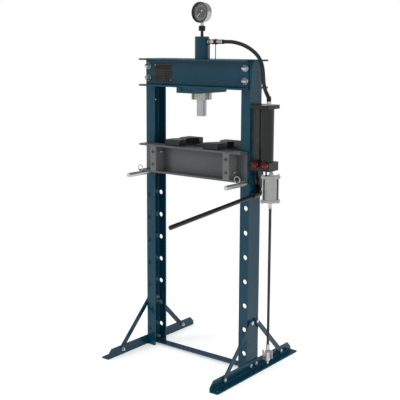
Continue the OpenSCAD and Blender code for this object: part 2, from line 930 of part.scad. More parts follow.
module pump_back_plate() {
    color([0.2, 0.25, 0.3])
    translate([col_x, -back_plate_y, tank_z])
    cube([back_plate_t, 2 * back_plate_y, tank_h]);
}

module pump_reservoir() {
    wall = 3;
    color([0.15, 0.15, 0.15])
    translate([tank_x, 0, tank_z])
    difference() {
        cylinder(h = tank_h, d = tank_d);
        translate([0, 0, -1]) cylinder(h = tank_h + 2, d = tank_d - 2 * wall);
    }
}

// valve block with the hand pump's barrel cast below it
module pump_block() {
    corner = 5;
    color([0.15, 0.15, 0.15])
    difference() {
        union() {
            translate([0, 0, block_z]) linear_extrude(block_h)
                polygon(concat(
                    [[col_x, -block_y]],
                    arc([block_x1 - corner, -block_y + corner], corner, -90, 0, 4),
                    arc([block_x1 - corner, block_y - corner], corner, 0, 90, 4),
                    [[col_x, block_y]]
                ));
            translate([lever_x, plunger_y, barrel_z])
                cylinder(h = block_z - barrel_z + 1, d = clevis_gap - 1);
            translate([motor_x - 17, -14, motor_top]) cylinder(h = motor_gap + 1, d = 8);
        }
        translate([lever_x, plunger_y, barrel_z - 1])
            cylinder(h = block_z - barrel_z + 10, d = plunger_d + running_gap);
        for (x = knob_x)
            rod_y(-block_y - 1, -block_y + 24, x, knob_z, stem_d + running_gap);
        translate([motor_x + 3, 0, block_z - 1]) cylinder(h = 9, d = 10 + thread_gap);
    }
}

// ball on the spindle of a needle valve
module valve_knob(x) {
    r = ball_d / 2;
    stem = stem_d / 2;
    flat = 1;
    join = asin(stem / r);
    front = acos((r - flat) / r);
    color([0.5, 0.1, 0.12])
    translate([x, knob_y, knob_z]) rotate([-90, 0, 0])
    rotate_extrude()
        polygon(concat([[0, -r + flat]], arc([0, 0], r, front - 90, 90 - join, 20),
                       [[stem, -block_y + 22 - knob_y], [0, -block_y + 22 - knob_y]]));
}

module valve_knob_left() { valve_knob(knob_x[0]); }

module valve_knob_right() { valve_knob(knob_x[1]); }

// U-shaped bracket whose cheeks carry the lever's pivot
module pump_clevis() {
    eye = 9.5;
    top_t = 6;
    cheek = concat(
        [[pivot_y + eye, block_z], [-18, block_z], [-18, block_z - 14]],
        arc([pivot_y, pivot_z], eye, 180, 360, 10)
    );
    color([0.12, 0.12, 0.12])
    difference() {
        union() {
            for (x = [lever_x - clevis_gap / 2 - cheek_t, lever_x + clevis_gap / 2])
                yz_plate(x, cheek_t) polygon(cheek);
            translate([lever_x - clevis_gap / 2 - 1, -18, block_z - top_t])
                cube([clevis_gap + 2, 36, top_t]);
        }
        rod_x(lever_x - 30, lever_x + 30, pivot_y, pivot_z, pivot_d + thread_gap);
    }
}

module lever_pivot_pin() {
    half = clevis_gap / 2 + cheek_t;
    color("silver") {
        rod_x(lever_x - half - 1, lever_x + half + 1, pivot_y, pivot_z, pivot_d);
        rod_x(lever_x + half, lever_x + half + 2, pivot_y, pivot_z, pivot_d + 4);
    }
}

// plunger with a flat tang and a cross pin that works in the lever's slots
module pump_plunger() {
    tang_w = 8.8;
    tang_d = 10;
    low = plunger_pin_z - 7;
    tang_top = plunger_pin_z + 16;
    color("gray") {
        translate([lever_x - tang_w / 2, plunger_y - tang_d / 2, low])
            cube([tang_w, tang_d, tang_top - low]);
        translate([lever_x, plunger_y, tang_top - 1])
            cylinder(h = block_z - tang_top - 1, d = plunger_d);
        rod_x(lever_x - forging_w / 2, lever_x + forging_w / 2, plunger_y, plunger_pin_z, plunger_pin_d);
    }
}

// draws along the lever: local +z runs down the bar from the point under the pivot
module along_lever() {
    translate([lever_x, pivot_y, pivot_z])
        rotate([90 + lever_tilt, 0, 0])
        translate([0, -lever_drop, 0])
        children();
}

// bell crank: slotted fork behind the pivot, socket for the bar below it
module lever_socket() {
    arm_a = lever_swing / 2;
    near = arm - 0.3;
    far = arm / cos(arm_a) + 0.3;
    dir = [cos(arm_a), sin(arm_a)];
    pivot = [pivot_y, pivot_z];
    eye = 10.5;
    color([0.12, 0.12, 0.12])
    difference() {
        union() {
            yz_plate(lever_x - forging_w / 2, forging_w) {
                polygon(bar_outline(pivot, pivot + dir * (arm + 1), 9));
                translate(pivot) circle(r = eye);
                polygon([[2, pivot_z - lever_drop], [pivot_y + 9, pivot_z - lever_drop],
                         [pivot_y + 10, pivot_z], [pivot_y - 9, pivot_z]]);
            }
            along_lever() cylinder(h = socket_len, d = socket_d);
        }
        along_lever() translate([0, 0, 4]) cylinder(h = socket_len, d = lever_d + running_gap);
        rod_x(lever_x - 30, lever_x + 30, pivot_y, pivot_z, pivot_d + running_gap);
        // fork around the plunger's tang
        translate([lever_x - fork_gap / 2, pivot_y, pivot_z]) rotate([arm_a, 0, 0])
            translate([0, fork_root, -20]) cube([fork_gap, 40, 40]);
        // slots for the plunger's cross pin
        yz_plate(lever_x - 20, 40)
            polygon(bar_outline(pivot + dir * near, pivot + dir * far, plunger_pin_d / 2 + 0.4));
    }
}

module lever_bar() {
    r = lever_d / 2;
    color([0.1, 0.1, 0.1])
    along_lever()
    translate([0, 0, 4 + rest_gap])
    rotate_extrude()
        polygon([[0, 0], [r - 1, 0], [r, 1], [r, lever_len - 1], [r - 1, lever_len], [0, lever_len]]);
}

// screws from inside the column into the pump's top flange
module pump_screws() {
    color("silver")
    for (s = [-1, 1])
        translate([col_x - col_web, s * pump_hole_y, pump_hole_z]) rotate([0, 90, 0])
        bolt(8, col_web + 20, 13, 5.5);
}

// ---- air motor ----

// end cap with an ear at each side for a tie rod, its ears along the local x direction
module motor_cap(z, t) {
    r = motor_d / 2 + 1;
    turn = acos((r - ear_r) / rod_r);
    translate([motor_x, 0, z]) rotate([0, 0, 45])
        difference() {
            linear_extrude(t) polygon(concat(
                arc([rod_r, 0], ear_r, -turn, turn, 10),
                arc([0, 0], r, turn, 180 - turn, 10),
                arc([-rod_r, 0], ear_r, 180 - turn, 180 + turn, 10),
                arc([0, 0], r, 180 + turn, 360 - turn, 10)
            ));
            for (s = [-1, 1])
                translate([s * rod_r, 0, -1]) cylinder(h = t + 2, d = rod_d + bolt_gap / 2);
        }
}

module air_cap_top() {
    color("lightgray")
    difference() {
        motor_cap(motor_top - cap_t, cap_t);
        translate([motor_x + 3, 0, motor_top - 8]) cylinder(h = 9, d = 10 + thread_gap);
    }
}

module air_cap_bottom() {
    color("lightgray")
    difference() {
        motor_cap(motor_z, cap_t);
        translate([motor_x, 0, motor_z - 1]) cylinder(h = 9, d = 10 + thread_gap);
    }
}

module air_barrel() {
    wall = 4;
    color("lightgray")
    translate([motor_x, 0, motor_z + cap_t])
    difference() {
        cylinder(h = motor_h - 2 * cap_t, d = motor_d);
        translate([0, 0, -1]) cylinder(h = motor_h, d = motor_d - 2 * wall);
    }
}

module air_tie_rods() {
    nut_h = 5;
    color("silver")
    for (s = [-1, 1])
        translate([motor_x + s * rod_off, s * rod_off, 0]) {
            translate([0, 0, motor_z - nut_h - 2])
                cylinder(h = motor_h + 2 * nut_h + 4, d = rod_d);
            translate([0, 0, motor_top]) hex(10, nut_h);
            translate([0, 0, motor_z - nut_h]) hex(10, nut_h);
        }
}

// coned joint between the air motor and the valve block
module air_neck() {
    color("silver")
    translate([motor_x + 3, 0, motor_top]) {
        cylinder(h = motor_gap, r1 = 12, r2 = 7);
        translate([0, 0, -7.5]) cylinder(h = motor_gap + 15, d = 10);
    }
}

module air_fitting() {
    color("silver")
    difference() {
        union() {
            translate([motor_x, 0, motor_z - 12]) hex(17, 12);
            translate([motor_x, 0, air_hose_top]) cylinder(h = 17, d = 16);
            translate([motor_x, 0, motor_z - 1]) cylinder(h = 8.5, d = 10);
        }
        translate([motor_x, 0, air_hose_top - 1]) cylinder(h = air_fitting_h + 10, d = 5);
    }
}

module air_hose() {
    steps = 20;
    fall = (air_hose_top - air_hose_end) / steps;
    color([0.06, 0.06, 0.06])
        tube([for (i = [0:steps]) [motor_x, air_hose_top - i * fall]], air_hose_d, 10);
}

// hand valve hanging on the air hose
module valve_body() {
    grip_z = 70;
    ear_y = 8;
    color("silver")
    translate([motor_x, 0, 0])
    difference() {
        union() {
            rotate_extrude() polygon([
                [0, valve_tip_z], [4.5, valve_tip_z], [4.5, grip_z], [10, grip_z], [13, grip_z + 6],
                [13, 112], [8.7, 126], [8.7, air_hose_end], [0, air_hose_end]
            ]);
            translate([8, -2, 83]) cube([18, 4, 41]);
            for (s = [-1, 1])
                translate([0, s * ear_y + (s < 0 ? -3 : 0), 0])
                rotate([90, 0, 0]) translate([0, 0, -3]) linear_extrude(3)
                polygon(concat([[-5, 84], [-5, 70]], arc([-17, 76], 4.5, 270, 90, 6)));
            rod_y(-ear_y - 1, ear_y + 1, -17, 76, 4);
        }
        translate([0, 0, valve_tip_z - 1]) cylinder(h = 12, d = 5);
        translate([0, 0, air_hose_end - 10]) cylinder(h = 11, d = 6);
    }
}

module valve_trigger() {
    w = 15.4;
    color("silver")
    translate([motor_x, 0, 0])
    difference() {
        xz_plate(-w / 2, w)
            polygon(concat(
                [[-15, 79.2], [-26, 114], [-29, 114]],
                arc([-17, 76], 3.7, 160, 380, 10)
            ));
        rod_y(-w, w, -17, 76, 4 + running_gap);
    }
}

// ---- bed ----

module bed_channel() {
    difference() {
        long_channel(bed_y, bed_z, bed_h, [0.36, 0.38, 0.39]);
        for (x = stiffener_x, s = [-1, 1])
            rod_y(-bed_y - 20, -bed_y + 5, x, bed_bolt_z + s * bed_bolt_rise / 2,
                  bed_bolt_d + bolt_gap);
    }
    // short pegs welded on the web, beside the stiffeners
    color([0.36, 0.38, 0.39])
    for (i = [0, 1])
        rod_y(-bed_y - beam_web - peg_len, -bed_y - 1, stiffener_x[i] + stiffener_w / 2 + peg_gap,
              bed_bolt_z + (0.5 - i) * bed_bolt_rise, peg_d);
}

module bed_channel_front() { bed_channel(); }

module bed_channel_back() { mirror([0, 1, 0]) bed_channel(); }

// pressed U between the flanges, its corners cut to clear the root radii
module stiffener(x) {
    y0 = -stiffener_y;
    y1 = -bed_y - beam_web;
    z0 = bed_z + beam_flange;
    z1 = z0 + stiffener_h;
    cut = root_r + 1;
    side = [[y0, z0], [y1 - cut, z0], [y1, z0 + cut], [y1, z1 - cut], [y1 - cut, z1], [y0, z1]];
    difference() {
        yz_plate(x - stiffener_w / 2, stiffener_w) polygon(side);
        translate([x - stiffener_w / 2 + stiffener_t, y0 + stiffener_t, z0 - 1])
            cube([stiffener_w - 2 * stiffener_t, beam_b + 5, stiffener_h + 2]);
        for (s = [-1, 1])
            rod_y(y0 - 1, y0 + 20, x, bed_bolt_z + s * bed_bolt_rise / 2, bed_bolt_d + bolt_gap);
    }
}

module bed_stiffeners() {
    color([0.45, 0.46, 0.47])
    front_and_back() for (x = stiffener_x) stiffener(x);
}

// long screws right through the bed, with a distance tube between the webs
module bed_tie_bolts() {
    head_h = 3.5;
    nut_h = 8;
    color("dimgray")
    for (x = stiffener_x, s = [-1, 1])
        translate([x, 0, bed_bolt_z + s * bed_bolt_rise / 2]) {
            difference() {
                union() {
                    rod_y(-stiffener_y - head_h, -stiffener_y, 0, 0, bed_bolt_d * 1.4);
                    rod_y(-stiffener_y - 1, stiffener_y + nut_h + 1, 0, 0, bed_bolt_d);
                }
                translate([0, -stiffener_y - head_h - 1, 0]) rotate([-90, 0, 0]) hex(7, 4);
            }
            translate([0, stiffener_y, 0]) rotate([-90, 0, 0]) nut(bed_bolt_d, bed_bolt_d * 1.7, nut_h);
            difference() {
                rod_y(-bed_y, bed_y, 0, 0, bed_bolt_d * 1.8);
                rod_y(-bed_y - 1, bed_y + 1, 0, 0, bed_bolt_d + bolt_gap);
            }
        }
}

// plate with a wide notch in its inner side and a narrow one in its outer side
module arbor_plate() {
    wide = 55;
    deep = 38;
    narrow = 28;
    shallow = 20;
    x0 = arbor_gap / 2;
    x1 = x0 + arbor_w;
    y = arbor_l / 2;
    translate([0, 0, arbor_z]) linear_extrude(arbor_t)
        polygon([
            [x0, -y], [x1, -y], [x1, -narrow + 10], [x1 - shallow, 10], [x1, narrow + 10], [x1, y],
            [x0, y], [x0, wide - 10], [x0 + deep, -10], [x0, -wide - 10]
        ]);
}

module arbor_plates() {
    color([0.12, 0.12, 0.12])
    translate([arbor_shift, 0, 0]) {
        arbor_plate();
        rotate([0, 0, 180]) arbor_plate();
    }
}

// pin with a pull ring welded on top of it
module bed_pin() {
    r = pin_d / 2;
    color("silver") {
        translate([hole_x, pin_front, top_hole_z]) rotate([-90, 0, 0]) rotate_extrude()
            polygon([[0, 0], [r - chamfer, 0], [r, chamfer], [r, pin_back - pin_front - 4],
                     [r - 4, pin_back - pin_front], [0, pin_back - pin_front]]);
        translate([hole_x, ring_y, top_hole_z + r + ring_r + ring_wire / 2 - 1.2])
            rotate([90, 0, 0]) rotate_extrude() translate([ring_r, 0]) circle(d = ring_wire);
    }
}

module bed_pin_right() { bed_pin(); }

module bed_pin_left() { mirror([1, 0, 0]) bed_pin(); }

column_left();
column_right();
beam_front();
beam_back();
beam_bolts();
beam_cap_nuts();
foot_left();
foot_right();
braces();
cross_tie();
base_bolts();
base_nuts();
carrier();
carrier_screws();
cylinder_body();
cylinder_head();
lock_nut();
ram();
ram_nose();
return_spring();
gauge_adapter();
gauge_case();
gauge_bezel();
gauge_dial();
gauge_needle();
gauge_lens();
hose_fitting();
coupler_ring();
hose_ferrule();
hydraulic_hose();
pump_hose_fitting();
coupler_leash();
pump_top_flange();
pump_back_plate();
pump_reservoir();
pump_block();
valve_knob_left();
valve_knob_right();
pump_clevis();
pump_plunger();
lever_pivot_pin();
lever_socket();
lever_bar();
pump_screws();
air_cap_top();
air_cap_bottom();
air_barrel();
air_tie_rods();
air_neck();
air_fitting();
air_hose();
valve_body();
valve_trigger();
bed_channel_front();
bed_channel_back();
bed_stiffeners();
bed_tie_bolts();
arbor_plates();
bed_pin_left();
bed_pin_right();
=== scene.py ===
import json
import math
import random

import bmesh
import bpy
from mathutils import Matrix, Vector


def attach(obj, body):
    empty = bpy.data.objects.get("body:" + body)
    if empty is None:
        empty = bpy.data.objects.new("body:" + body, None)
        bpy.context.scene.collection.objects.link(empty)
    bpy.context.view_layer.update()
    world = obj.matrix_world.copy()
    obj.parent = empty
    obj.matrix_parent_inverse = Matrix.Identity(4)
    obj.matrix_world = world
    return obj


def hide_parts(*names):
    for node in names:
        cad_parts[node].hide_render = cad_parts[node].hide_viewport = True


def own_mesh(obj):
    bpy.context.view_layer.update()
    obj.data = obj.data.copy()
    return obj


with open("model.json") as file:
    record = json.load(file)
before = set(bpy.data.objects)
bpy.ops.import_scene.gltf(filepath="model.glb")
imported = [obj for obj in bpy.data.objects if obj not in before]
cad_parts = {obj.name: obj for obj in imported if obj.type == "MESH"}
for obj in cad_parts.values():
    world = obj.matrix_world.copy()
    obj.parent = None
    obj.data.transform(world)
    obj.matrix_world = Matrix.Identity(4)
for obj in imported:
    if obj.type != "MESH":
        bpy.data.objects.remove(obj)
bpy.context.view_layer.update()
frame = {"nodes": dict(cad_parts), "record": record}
nodes = frame["nodes"]
MM = 0.001


# ---------------------------------------------------------------- camera

# the photo's view: angles in degrees, the point looked at and the distance from it in metres
AZIMUTH, PITCH, ROLL = 37.742, 8.616, 0.254
LOOKS_AT = Vector((-0.00883, 0, 0.95422))
DISTANCE = 4.1095
LENS = 74.71
SENSOR = 36
SHIFT = -0.075


def make_camera():
    azimuth, pitch, roll = (math.radians(a) for a in (AZIMUTH, PITCH, ROLL))
    back = Vector((
        math.sin(azimuth) * math.cos(pitch),
        -math.cos(azimuth) * math.cos(pitch),
        math.sin(pitch),
    ))
    level = Vector((math.cos(azimuth), math.sin(azimuth), 0))
    upward = back.cross(level)
    right = level * math.cos(roll) + upward * math.sin(roll)
    up = upward * math.cos(roll) - level * math.sin(roll)
    data = bpy.data.cameras.new("camera")
    data.sensor_width = SENSOR
    data.lens = LENS
    data.shift_y = SHIFT
    data.clip_start = 0.05
    data.clip_end = 200
    cam = bpy.data.objects.new("camera", data)
    turn = Matrix((right, up, back)).transposed().to_4x4()
    cam.matrix_world = Matrix.Translation(LOOKS_AT + back * DISTANCE) @ turn
    bpy.context.scene.collection.objects.link(cam)
    bpy.context.scene.camera = cam


make_camera()


# ---------------------------------------------------------------- materials

# heights of the bumps in metres: waves of a coat of paint, grain of any surface
WAVE_HEIGHT = 0.0006
GRAIN_HEIGHT = 0.0002


def linear(rgb):
    """sRGB values from 0 to 255 as a linear colour with full alpha."""
    out = []
    for v in rgb:
        v = v / 255
        out.append(v / 12.92 if v <= 0.04045 else ((v + 0.055) / 1.055) ** 2.4)
    return (*out, 1)


class Tree:
    """Short calls for building one material's nodes. Noise scales are per metre of the part."""

    def __init__(self, name, plain=None):
        """The plain colour stays on the shader's socket, under the linked one."""
        self.material = bpy.data.materials.new(name)
        self.material.use_nodes = True
        self.nodes = self.material.node_tree.nodes
        self.links = self.material.node_tree.links
        self.nodes.clear()
        self.shader = self.add("ShaderNodeBsdfPrincipled")
        if plain:
            self.shader.inputs["Base Color"].default_value = linear(plain)
        output = self.add("ShaderNodeOutputMaterial")
        self.link(self.shader.outputs[0], output.inputs["Surface"])
        self.place = self.add("ShaderNodeTexCoord").outputs["Object"]

    def add(self, kind, **settings):
        node = self.nodes.new(kind)
        for key, value in settings.items():
            setattr(node, key, value)
        return node

    def link(self, a, b):
        self.links.new(a, b)

    def stretched(self, scale):
        """Place on the part, scaled along each axis."""
        node = self.add("ShaderNodeMapping")
        node.inputs["Scale"].default_value = scale
        self.link(self.place, node.inputs["Vector"])
        return node.outputs[0]

    def noise(self, scale, detail=3, roughness=0.5, place=None):
        node = self.add("ShaderNodeTexNoise")
        node.inputs["Scale"].default_value = scale
        node.inputs["Detail"].default_value = detail
        node.inputs["Roughness"].default_value = roughness
        self.link(place or self.place, node.inputs["Vector"])
        return node.outputs[0]

    def ramp(self, value, low, high, to_low=0.0, to_high=1.0):
        """Value from low to high, brought to to_low to to_high and clamped there."""
        node = self.add("ShaderNodeMapRange")
        node.inputs["From Min"].default_value = low
        node.inputs["From Max"].default_value = high
        node.inputs["To Min"].default_value = to_low
        node.inputs["To Max"].default_value = to_high
        self.link(value, node.inputs["Value"])
        return node.outputs[0]

    def mix(self, factor, a, b):
        node = self.add("ShaderNodeMix", data_type="RGBA")
        for socket, value in ((node.inputs[6], a), (node.inputs[7], b)):
            if isinstance(value, tuple):
                socket.default_value = value
            else:
                self.link(value, socket)
        self.link(factor, node.inputs[0])
        return node.outputs[2]

    def times(self, a, b):
        node = self.add("ShaderNodeMath", operation="MULTIPLY")
        for socket, value in ((node.inputs[0], a), (node.inputs[1], b)):
            if isinstance(value, (int, float)):
                socket.default_value = value
            else:
                self.link(value, socket)
        return node.outputs[0]

    def rounded(self, radius):
        """Normal with the edges rounded, and how near an edge the point is."""
        bevel = self.add("ShaderNodeBevel", samples=4)
        bevel.inputs["Radius"].default_value = radius
        true = self.add("ShaderNodeNewGeometry").outputs["Normal"]
        dot = self.add("ShaderNodeVectorMath", operation="DOT_PRODUCT")
        self.link(bevel.outputs[0], dot.inputs[0])
        self.link(true, dot.inputs[1])
        return bevel.outputs[0], self.ramp(dot.outputs["Value"], 0.999, 0.86)

    def bump(self, height, strength, distance, normal=None):
        node = self.add("ShaderNodeBump")
        node.inputs["Strength"].default_value = strength
        node.inputs["Distance"].default_value = distance
        self.link(height, node.inputs["Height"])
        if normal is not None:
            self.link(normal, node.inputs["Normal"])
        return node.outputs[0]

    def done(self, colour, rough, normal, metallic=0.0, specular=0.5):
        inputs = self.shader.inputs
        self.link(colour, inputs["Base Color"])
        self.link(rough, inputs["Roughness"])
        self.link(normal, inputs["Normal"])
        inputs["Metallic"].default_value = metallic
        inputs["Specular IOR Level"].default_value = specular
        return self.material


def paint(name, colour, light, edge, rough, specular=0.4, peel=0.12, edge_radius=0.0009):
    """Gloss paint: fine orange peel, slow drift of tone, pale flecks, paler worn edges."""
    t = Tree(name, colour)
    drift = t.noise(7, detail=4)
    base = t.mix(t.ramp(drift, 0.3, 0.75), linear(colour), linear(light))
    fleck = t.noise(2600, detail=2)
    base = t.mix(t.ramp(fleck, 0.6, 0.85, 0, 0.25), base, linear(light))
    normal, near = t.rounded(edge_radius)
    patches = t.noise(60, detail=5, roughness=0.7)
    worn = t.times(near, t.ramp(patches, 0.35, 0.62, 0.15, 0.85))
    base = t.mix(worn, base, linear(edge))
    grain = t.noise(1500, roughness=0.6)
    waves = t.noise(220, detail=2)
    normal = t.bump(waves, peel * 0.7, WAVE_HEIGHT, normal)
    normal = t.bump(grain, peel, GRAIN_HEIGHT, normal)
    roughness = t.ramp(t.noise(25, detail=4), 0.3, 0.7, rough - 0.05, rough + 0.08)
    return t.done(base, roughness, normal, 0, specular)


def metal(name, colour, dark, rough, stretch=(1, 1, 1), lines=0.08, stain=0.35, metallic=1.0):
    """Bare or plated steel: fine lay of the tool marks, cloudy plating, brighter edges."""
    t = Tree(name, colour)
    lay = t.noise(900, roughness=0.6, place=t.stretched(stretch))
    cloud = t.noise(38, detail=5, roughness=0.6)
    base = t.mix(t.ramp(cloud, 0.42, 0.72, 0, stain), linear(colour), linear(dark))
    base = t.mix(t.ramp(lay, 0.45, 0.8, 0, 0.3), base, linear(dark))
    normal, near = t.rounded(0.0005)
    bright = tuple(min(255, c + 28) for c in colour)
    base = t.mix(t.times(near, 0.6), base, linear(bright))
    normal = t.bump(lay, lines, GRAIN_HEIGHT, normal)
    roughness = t.ramp(t.noise(120, detail=4), 0.3, 0.7, rough - 0.03, rough + 0.05)
    return t.done(base, roughness, normal, metallic)


def plastic(name, colour, light, rough, specular=0.5):
    """Moulded or printed surface: slow drift of tone and a fine grain."""
    t = Tree(name, colour)
    base = t.mix(t.ramp(t.noise(30), 0.35, 0.7), linear(colour), linear(light))
    normal, _ = t.rounded(0.0004)
    normal = t.bump(t.noise(1400, detail=2), 0.05, GRAIN_HEIGHT, normal)
    roughness = t.ramp(t.noise(90), 0.3, 0.7, rough - 0.04, rough + 0.06)
    return t.done(base, roughness, normal, 0, specular)


def rubber_hose(name, colour, light, pitch):
    """Hose cover with the fine cross weave that its curing wrap leaves."""
    t = Tree(name, colour)
    wave = t.add("ShaderNodeTexWave", wave_type="BANDS", bands_direction="Z", wave_profile="SIN")
    wave.inputs["Scale"].default_value = 1 / pitch
    wave.inputs["Distortion"].default_value = 1.5
    t.link(t.place, wave.inputs["Vector"])
    base = t.mix(t.ramp(t.noise(40, detail=4), 0.35, 0.7), linear(colour), linear(light))
    normal = t.bump(wave.outputs["Fac"], 0.25, 0.0003)
    normal = t.bump(t.noise(1800, detail=2), 0.15, GRAIN_HEIGHT, normal)
    roughness = t.ramp(t.noise(60), 0.3, 0.7, 0.38, 0.55)
    return t.done(base, roughness, normal, 0, 0.45)


def clear_glass(name):
    """Thin flat glass, seen through almost everywhere and glossy."""
    t = Tree(name)
    base = t.mix(t.ramp(t.noise(20, detail=2), 0.3, 0.7), (0.26, 0.28, 0.28, 1), (0.22, 0.24, 0.24, 1))
    t.shader.inputs["Alpha"].default_value = 0.1
    normal = t.bump(t.noise(14, detail=1), 0.02, GRAIN_HEIGHT)
    return t.done(base, t.ramp(t.noise(200, detail=2), 0.3, 0.7, 0.02, 0.06), normal)


def nut_plating(name):
    """Yellow passivate on the nut's -x side; from there towards +x it is painted pale silver as a
    highlight.
    """
    yellow, lit_silver, edge = (138, 132, 62), (186, 187, 184), (210, 210, 200)
    t = Tree(name, (170, 168, 130))
    split = t.add("ShaderNodeSeparateXYZ")
    t.link(t.place, split.inputs[0])
    # painted highlight: the yellow gives way to pale silver towards +x, in slight patches
    side = t.ramp(split.outputs[0], -0.030, -0.012)
    patch = t.ramp(t.noise(70, detail=4, roughness=0.6), 0.35, 0.65, 0.75, 1.0)
    base = t.mix(t.times(side, patch), linear(yellow), linear(lit_silver))
    normal, near = t.rounded(0.0006)
    base = t.mix(t.times(near, 0.5), base, linear(edge))
    lay = t.noise(700, roughness=0.6, place=t.stretched((1, 1, 6)))
    normal = t.bump(lay, 0.1, GRAIN_HEIGHT, normal)
    return t.done(base, t.ramp(t.noise(90), 0.3, 0.7, 0.28, 0.42), normal, 0.8)


MATERIALS = {
    "frame_paint": paint(
        "frame_paint", (3, 62, 83), (7, 69, 90), (76, 116, 130), 0.2, specular=0.27, peel=0.04),
    "bed_paint": paint(
        "bed_paint", (86, 90, 93), (96, 100, 103), (144, 148, 151), 0.28, peel=0.05),
    "strip_paint": paint(
        "strip_paint", (104, 107, 106), (114, 117, 116), (156, 159, 158), 0.3, peel=0.05),
    "arbor_paint": paint("arbor_paint", (23, 24, 24), (32, 34, 34), (98, 100, 100), 0.36),
    "pump_paint": paint(
        "pump_paint", (22, 24, 24), (31, 33, 33), (84, 87, 87), 0.22, specular=0.34, peel=0.06),
    "plate_paint": paint(
        "plate_paint", (34, 42, 48), (42, 50, 56), (92, 100, 106), 0.36, specular=0.3),
    "black_steel": paint(
        "black_steel", (12, 13, 13), (20, 21, 21), (70, 72, 72), 0.36,
        specular=0.3, peel=0.16, edge_radius=0.0006),
    "motor_alloy": paint(
        "motor_alloy", (170, 172, 170), (180, 182, 180), (214, 215, 214), 0.36, peel=0.06),
    # painted shade: dark grey for the webs that stand for the shade in the motor's grooves
    "shadow_grey": paint(
        "shadow_grey", (38, 39, 40), (48, 49, 50), (90, 91, 92), 0.4, peel=0.06),
    "rim_dark": paint(
        "rim_dark", (34, 34, 36), (44, 44, 46), (110, 110, 112), 0.3, peel=0.05, edge_radius=0.0004),
    "zinc": metal(
        "zinc", (212, 213, 213), (172, 174, 175), 0.32, lines=0.05, stain=0.25, metallic=0.8),
    "ground_steel": metal(
        "ground_steel", (184, 186, 188), (160, 162, 165), 0.3,
        stretch=(1, 1, 9), lines=0.03, stain=0.2, metallic=0.75),
    "spring_steel": metal("spring_steel", (112, 114, 118), (70, 72, 76), 0.35),
    "chrome_trim": metal(
        "chrome_trim", (196, 197, 198), (150, 152, 154), 0.26, lines=0.03, stain=0.2, metallic=0.7),
    "valve_alloy": metal("valve_alloy", (196, 197, 198), (150, 152, 154), 0.34, stain=0.25),
    "bolt_dark": metal("bolt_dark", (84, 86, 86), (58, 60, 60), 0.4, metallic=0.3),
    "olive_zinc": nut_plating("olive_zinc"),
    "dial_grey": plastic("dial_grey", (136, 136, 137), (144, 144, 145), 0.6, 0.2),
    "dial_inner": plastic("dial_inner", (96, 96, 98), (104, 104, 106), 0.6, 0.2),
    "needle_white": plastic("needle_white", (232, 232, 230), (238, 238, 236), 0.4),
    "tick_black": plastic("tick_black", (28, 28, 30), (34, 34, 36), 0.5),
    "tick_red": plastic("tick_red", (120, 34, 44), (130, 40, 50), 0.5),
    "red_plastic": plastic("red_plastic", (104, 6, 18), (120, 10, 24), 0.1, 0.35),
    "coupler_plastic": plastic("coupler_plastic", (84, 12, 30), (98, 20, 40), 0.36),
    "leash_plastic": plastic("leash_plastic", (66, 4, 20), (80, 10, 30), 0.5, 0.2),
    "rubber_black": plastic("rubber_black", (18, 18, 19), (26, 26, 27), 0.6),
    "plate_brown": plastic("plate_brown", (18, 15, 14), (27, 23, 22), 0.34, 0.3),
    "plate_lines": plastic("plate_lines", (128, 118, 108), (142, 132, 122), 0.4),
    "clear_lens": clear_glass("clear_lens"),
    "hose_rubber": rubber_hose("hose_rubber", (34, 34, 35), (46, 46, 47), 0.004),
}
SLOTS = {m["slot"] for m in frame["record"]["materials"]}

# CAD nodes that the photo shows in another finish than the rest of their slot
OWN_FINISH = {"bed_tie_bolts": "bolt_dark", "bed_stiffeners": "strip_paint"}


def dress_nodes():
    """Each CAD node takes its slot's material, or its own finish."""
    for obj in nodes.values():
        for s in obj.material_slots:
            was = s.material.name.split(".")[0] if s.material else ""
            if was in SLOTS:
                s.material = MATERIALS[OWN_FINISH.get(obj.name, was)]


dress_nodes()


# ---------------------------------------------------------------- building pieces

def finish_piece(name, mesh, slot, body, smooth=True):
    """New object that rides on a body. Materials that no CAD node has are not slots."""
    for p in mesh.polygons:
        p.use_smooth = smooth
    obj = bpy.data.objects.new(name, mesh)
    mesh.materials.append(MATERIALS[slot])
    bpy.context.scene.collection.objects.link(obj)
    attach(obj, body)
    return obj


def bm_piece(name, bm, slot, body, smooth=True):
    """Piece made of one bmesh, which is used up."""
    mesh = bpy.data.meshes.new(name)
    bmesh.ops.recalc_face_normals(bm, faces=bm.faces)
    bm.to_mesh(mesh)
    bm.free()
    return finish_piece(name, mesh, slot, body, smooth)


def route_curve(name, points, diameter, slot, body):
    """Round cord with closed ends along a route."""
    curve = bpy.data.curves.new(name, "CURVE")
    curve.dimensions = "3D"
    curve.bevel_depth = diameter / 2
    curve.bevel_resolution = 5
    curve.resolution_u = 6
    curve.use_fill_caps = True
    line = curve.splines.new("BEZIER")
    line.bezier_points.add(len(points) - 1)
    for b, p in zip(line.bezier_points, points):
        b.co = p
        b.handle_left_type = b.handle_right_type = "AUTO"
    obj = bpy.data.objects.new(name, curve)
    curve.materials.append(MATERIALS[slot])
    bpy.context.scene.collection.objects.link(obj)
    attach(obj, body)
    return obj


# ---------------------------------------------------------------- cords

# routes in the plane y = 0 as (x, z) in mm; diameters and the air hose's place and ends in metres
HOSE_ROUTE = [
    (127, 1582), (150, 1582), (180, 1581), (210, 1576), (240, 1568), (268, 1557), (293, 1543),
    (316, 1526), (335, 1505), (348, 1478), (355, 1447), (358, 1416), (362, 1386), (371, 1358),
    (383, 1336), (390, 1319), (390, 1311),
]
LEASH_ROUTE = [
    (46, 1569), (46, 1540), (46, 1505), (46, 1480), (47, 1463), (52, 1450), (64, 1444), (76, 1450),
    (81, 1463), (82, 1480), (82, 1505), (82, 1540), (82, 1569.7),
]
HOSE_D, LEASH_D, AIR_HOSE_D = 0.018, 0.004, 0.013
AIR_HOSE_X, AIR_HOSE_TOP, AIR_HOSE_BOTTOM = 0.407, 0.813, 0.151


def in_metres(route):
    return [(x * MM, 0, z * MM) for x, z in route]


